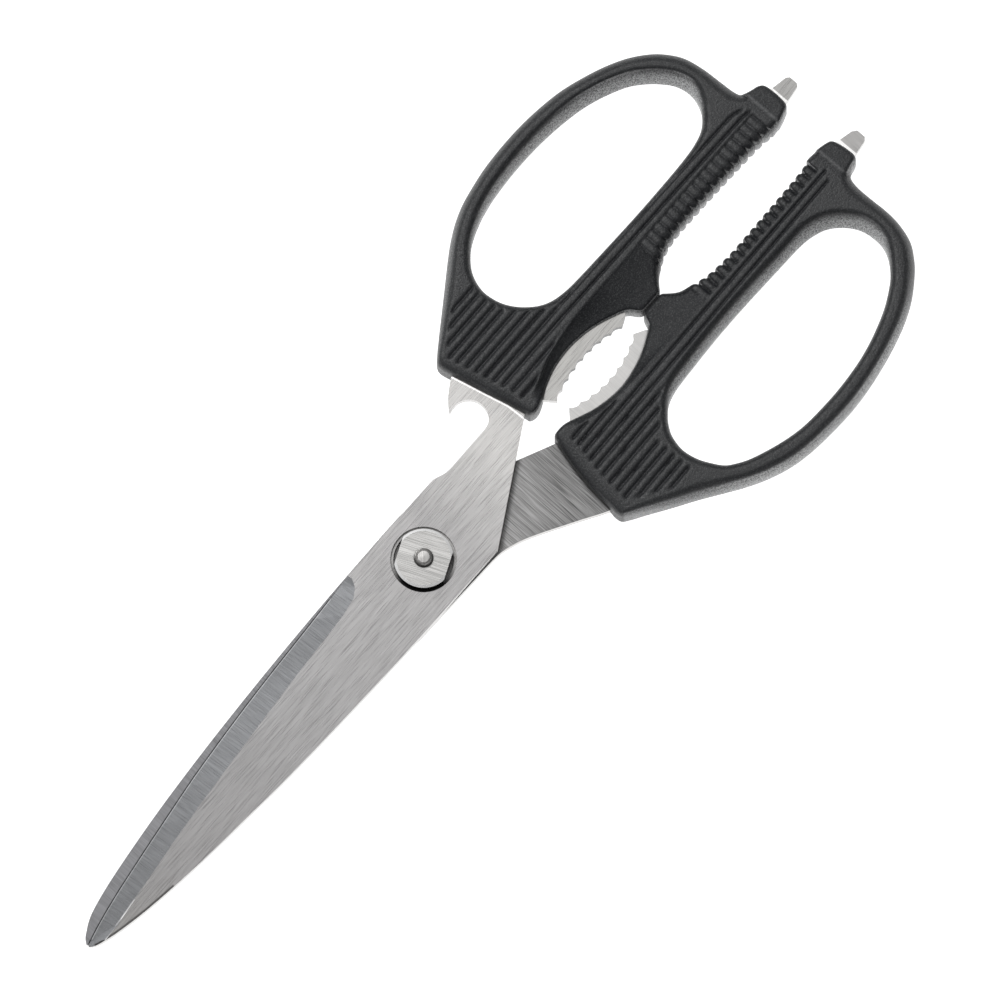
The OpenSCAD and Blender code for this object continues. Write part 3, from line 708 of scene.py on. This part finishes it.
    # painted shade: the sloped walls of the jaw teeth are painted near black
    teeth = n.math("MULTIPLY", n.range(px.outputs[0], 0.048, 0.050, 0, 1), n.range(px.outputs[0], 0.086, 0.084, 0, 1))
    col = n.mix(n.math("MULTIPLY", teeth, n.range(up, 0.96, 0.85, 0, 1)), col, (0.09, 0.09, 0.09))
    if side_on is not None:  # the side wall carries painted shade, dark when seen at a grazing angle and lighter seen square on
        lw = n.node("ShaderNodeLayerWeight")
        lw.inputs["Blend"].default_value = 0.5
        side = n.mix(n.range(lw.outputs["Facing"], 0.35, 0.7, 0, 1), side_on, side)
    col = n.mix(n.math("MULTIPLY", wall, n.math("SUBTRACT", 1.0, teeth)), col, side)
    # painted shade: the colour is darkened in creases and joints by an ambient-occlusion mask
    ao = n.node("ShaderNodeAmbientOcclusion", samples=6)
    ao.inputs["Distance"].default_value = crease_shade[0]
    dark = n.range(ao.outputs["AO"], crease_shade[1], crease_shade[2], crease_shade[3], 1.0)
    col = n.mul_color(col, dark)
    if rim is not None:  # painted highlight: a rounded edge painted bright white, not metallic there
        on = n.math("MULTIPLY", n.range(up, 0.97, 0.90, 0, 1), n.range(up, 0.25, 0.45, 0, 1))
        col = n.mix(on, col, rim)
        n.link(n.math("SUBTRACT", 1.0, on), b.inputs["Metallic"])
    else:
        b.inputs["Metallic"].default_value = 1.0
    n.link(col, b.inputs["Base Color"])
    n.link(n.range(h, 0.35, 0.65, rough - 0.06, rough + 0.10), b.inputs["Roughness"])
    n.link(n.bump(h, 0.35, 0.00002), b.inputs["Normal"])
    return m


def joint_highlight_lines(g, near, far, tone, flip):
    """A painted highlight on the steel beside a grip's end, one line for each stretch of the joint."""
    P = g["blade"]
    out = []
    for a, c in zip(P[:-1], P[1:]):
        out.append(((a[0], a[1], c[0], c[1]) if not flip else (c[0], c[1], a[0], a[1])) + (near, far, tone))
    return tuple(out)


END_F, END_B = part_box("front_handle")[1].x / MM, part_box("back_handle")[1].x / MM
M_PLASTIC = plastic()
CUT = [(-113.6, 0.35), (-110, 1.25), (-105, 2.25), (-100, 3.1), (-90, 4.5), (-80, 5.8), (-70, 7.05), (-60, 7.95),
       (-50, 8.7), (-40, 9.25), (-30, 9.7), (-20, 10.15)]  # the front blade's cutting edge
RIDGE = [(-111, -2), (-108, -1.85), (-105, -1.6), (-100, -1.05), (-96, -0.61)]  # where the bevel meets the flat, by the point
SPINE = [(-113.3, -1.2), (-111, -2.2), (-107, -3.3), (-100, -4.7), (-92, -5.85)]


def along(P, near, far, tone, back=False):
    out = []
    for a, c in zip(P[:-1], P[1:]):
        out.append((tuple(c) + tuple(a) if back else tuple(a) + tuple(c)) + (near, far, tone))
    return tuple(out)


# painted light on the front blade: white bands beside each grip joint and just past the grip's end, and pale lines
# along the cutting edge and the bevel's ridge, are painted highlights; the dark line along the spine by the point is
# painted shade
M_FRONT = steel("front_blade_steel", (0.295, 0.288, 0.28), (0.60, 0.59, 0.58), 179.5, (0.465, 0.474, 0.492), streak=0.10,
                zones=((-112, -90, (0.315, 0.308, 0.308)), (-90, -50, (0.350, 0.344, 0.345)), (-50, -12, (0.420, 0.412, 0.412)),
                       (8, 30, (0.55, 0.54, 0.53)), (41, 43, (0.45, 0.443, 0.43)), (END_F - 0.1, END_F, (1.0, 0.99, 0.98)),
                       (END_F + 0.62, END_F + 0.75, (0.42, 0.415, 0.405))),
                painted_light_bands=joint_highlight_lines(FRONT, 0.1, 0.5, (0.95, 0.94, 0.93), False) + along(CUT, -0.02, 0.16, (0.85, 0.86, 0.88), True)
                + along(SPINE, -0.1, 0.45, (0.09, 0.088, 0.086)) + along(RIDGE[:4], -0.12, 0.16, (0.86, 0.86, 0.87))
                + along(RIDGE[3:], -0.08, 0.12, (0.55, 0.55, 0.555)),
                tip=(0.235, 0.24, 0.25), pit=(7.42, 6.0, (0.012, 0.012, 0.012), (0.33, 0.325, 0.32)), crease_shade=(0.0004, 0.3, 0.8, 0.3), fine=1.3)
# painted light on the back blade: the black line along the front blade's cutting edge is a painted shadow, and the
# white band just past the grip's end is a painted highlight
M_BACK = steel("back_blade_steel", (0.262, 0.262, 0.272), (0.62, 0.61, 0.6), 88.5, (0.36, 0.362, 0.368), streak=0.36, rough=0.34,
               zones=((-16, -8, (0.47, 0.463, 0.46)), (12, 20, (0.385, 0.382, 0.38)), (24, 33, (0.325, 0.323, 0.321)),
                      (41, 43, (0.54, 0.533, 0.525)), (END_B - 0.1, END_B, (1.0, 0.99, 0.98)), (END_B + 1.05, END_B + 1.2, (0.43, 0.422, 0.415))),
               painted_light_bands=along(CUT, -0.1, 0.26, (0.012, 0.012, 0.013)), calm=(-15, 0.6))
# the keeper's side wall is painted black, painted shade of the pit round it; its rim is a painted highlight
M_KEEPER = steel("keeper_steel", (0.585, 0.578, 0.567), (0.012, 0.012, 0.012), 113.0, (0.90, 0.89, 0.88), streak=0.045, rough=0.24,
                 rim=(0.86, 0.86, 0.86), side_on=(0.36, 0.355, 0.35))
# the rivet's side wall is painted dark: painted shade
M_RIVET = steel("rivet_steel", (0.52, 0.51, 0.50), (0.10, 0.098, 0.095), 40.0, (0.5, 0.49, 0.48), streak=0.1, rough=0.3)
M_BUSH = steel("bush_steel", (0.4, 0.395, 0.39), (0.35, 0.345, 0.34), 10.0, None, streak=0.1, rough=0.35)

# ------------------------------------------------------------------ grips
for tag, g, body in (("front", FRONT, "front_half"), ("back", BACK, "back_half")):
    V, Q = build_grip(g)
    V = keep_in(V, tag + "_handle")
    ob = mesh_object(tag + "_grip", V, Q, [M_PLASTIC])
    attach(ob, body)
    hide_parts(tag + "_handle")
    print(tag, "grip", len(V), "vertices", len(Q), "quads")

# ------------------------------------------------------------------ steel: the CAD nodes with their finish
def finish_node(name, mat, width, segs=2, angle=28):
    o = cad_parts[name]
    o.data.materials.clear()
    o.data.materials.append(mat)
    b = o.modifiers.new("edge", "BEVEL")
    b.width = width * MM
    b.segments = segs
    b.limit_method = "ANGLE"
    b.angle_limit = math.radians(angle)
    b.harden_normals = False
    b.use_clamp_overlap = True
    return o


finish_node("front_blade", M_FRONT, 0.12)
finish_node("back_blade", M_BACK, 0.12)
finish_node("journal_bush", M_BUSH, 0.05)
finish_node("keeper_disc", M_KEEPER, 0.2)
finish_node("pivot_rivet", M_RIVET, 0.08)

# ------------------------------------------------------------------ stage, light and camera
lowest = CAD[0][2]
floor_me = bpy.data.meshes.new("floor")
fs = 16.0
floor_me.from_pydata([(-fs, -fs, lowest - 0.0003), (fs, -fs, lowest - 0.0003), (fs, fs, lowest - 0.0003), (-fs, fs, lowest - 0.0003)], [], [(0, 1, 2, 3)])
floor = bpy.data.objects.new("floor", floor_me)
bpy.context.scene.collection.objects.link(floor)
mf = bpy.data.materials.new("floor_paper")
mf.use_nodes = True
nt = mf.node_tree
nt.nodes.clear()
fo = nt.nodes.new("ShaderNodeOutputMaterial")
df = nt.nodes.new("ShaderNodeBsdfDiffuse")
df.inputs[0].default_value = (0.35, 0.35, 0.35, 1)
em = nt.nodes.new("ShaderNodeEmission")
em.inputs[0].default_value = (1, 1, 1, 1)
em.inputs[1].default_value = 1.1
ad = nt.nodes.new("ShaderNodeAddShader")
nt.links.new(df.outputs[0], ad.inputs[0])
nt.links.new(em.outputs[0], ad.inputs[1])
nt.links.new(ad.outputs[0], fo.inputs[0])
floor_me.materials.append(mf)

world = bpy.data.worlds.new("studio")
bpy.context.scene.world = world
world.use_nodes = True
wt = world.node_tree
wt.nodes.clear()
wn = N(wt)
wo = wn.node("ShaderNodeOutputWorld")
bg = wn.node("ShaderNodeBackground")
tc = wn.node("ShaderNodeTexCoord")
sx = wn.node("ShaderNodeSeparateXYZ")
wn.link(tc.outputs["Generated"], sx.inputs[0])
high = wn.range(sx.outputs[2], 0.35, 0.95, 0.0, 1.0)
back = wn.range(sx.outputs[1], -0.25, 0.75, 0.0, 1.0)
lum = wn.math("ADD", wn.math("MULTIPLY", high, 0.42), wn.math("MULTIPLY", back, 0.30))
lum = wn.math("ADD", lum, wn.range(wn.math("ABSOLUTE", sx.outputs[0]), 0.55, 1.0, 0.06, 0.30))
# seen directly, past the floor, the studio is as pale as the floor
seen = wn.node("ShaderNodeLightPath").outputs["Is Camera Ray"]
lum = wn.math("ADD", wn.math("MULTIPLY", lum, wn.math("SUBTRACT", 1.0, seen)), wn.math("MULTIPLY", seen, 1.3))
wn.link(lum, bg.inputs[1])
bg.inputs[0].default_value = (1.0, 1.0, 1.0, 1)
wn.link(bg.outputs[0], wo.inputs[0])


def area(name, loc, target, size, power):
    d = bpy.data.lights.new(name, "AREA")
    d.shape = "RECTANGLE"
    d.size, d.size_y = size
    d.energy = power
    o = bpy.data.objects.new(name, d)
    bpy.context.scene.collection.objects.link(o)
    from mathutils import Vector
    v = Vector(target) - Vector(loc)
    o.location = loc
    o.rotation_euler = v.to_track_quat("-Z", "Y").to_euler()
    return o


area("key", (0.10, 0.50, 1.00), (0.02, 0, 0), (0.45, 0.3), 5.0)

from mathutils import Matrix, Vector
AL = math.radians(49.44)
right = Vector((math.cos(AL), -math.sin(AL), 0))
back_v = Vector((-0.174 * math.sin(AL), -0.174 * math.cos(AL), 0.985)).normalized()
up = back_v.cross(right).normalized()
look = Vector((0.02158, -0.00384, 0.0028))
cam_d = bpy.data.cameras.new("camera")
cam_d.type = "ORTHO"
cam_d.ortho_scale = 1000 / 4.507 * MM
cam_d.clip_end = 10
cam = bpy.data.objects.new("camera", cam_d)
bpy.context.scene.collection.objects.link(cam)
cam.matrix_world = Matrix(((right.x, up.x, back_v.x, 0), (right.y, up.y, back_v.y, 0), (right.z, up.z, back_v.z, 0), (0, 0, 0, 1)))
cam.location = look + back_v * 1.2
bpy.context.scene.camera = cam
bpy.context.scene.view_settings.view_transform = "Standard"
